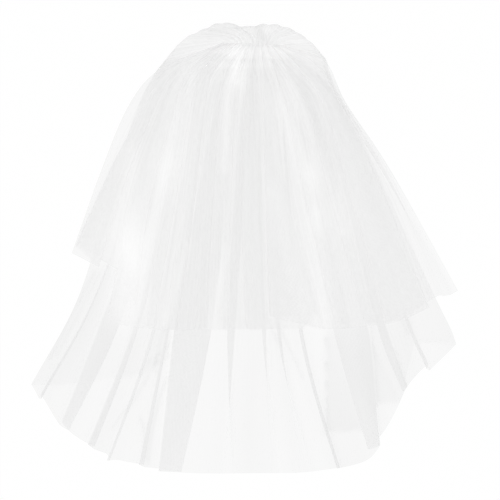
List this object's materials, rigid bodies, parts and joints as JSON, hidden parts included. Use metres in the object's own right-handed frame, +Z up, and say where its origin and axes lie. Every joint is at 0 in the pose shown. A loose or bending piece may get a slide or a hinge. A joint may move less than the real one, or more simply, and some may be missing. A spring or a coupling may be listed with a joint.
{
  "type": "bridal veil",
  "caption": "Two-tier tulle bridal veil with a puffed top gathered on a hair comb, laid out flat and fanned.",
  "frame": {"origin": "on the surface that the veil lies on, under the middle of its footprint", "axes": "+Z up, away from the surface; +Y from the hem towards the comb; +X to the right, seen from above"},
  "size_m": [0.711, 0.7506, 0.0239],
  "materials": {
    "tulle": "matte",
    "ribbon": "satin",
    "comb_plastic": "gloss"
  },
  "bodies": {
    "root": {"lower_tier": "tulle", "upper_tier": "tulle", "binding": "ribbon", "comb": "comb_plastic"}
  },
  "joints": []
}
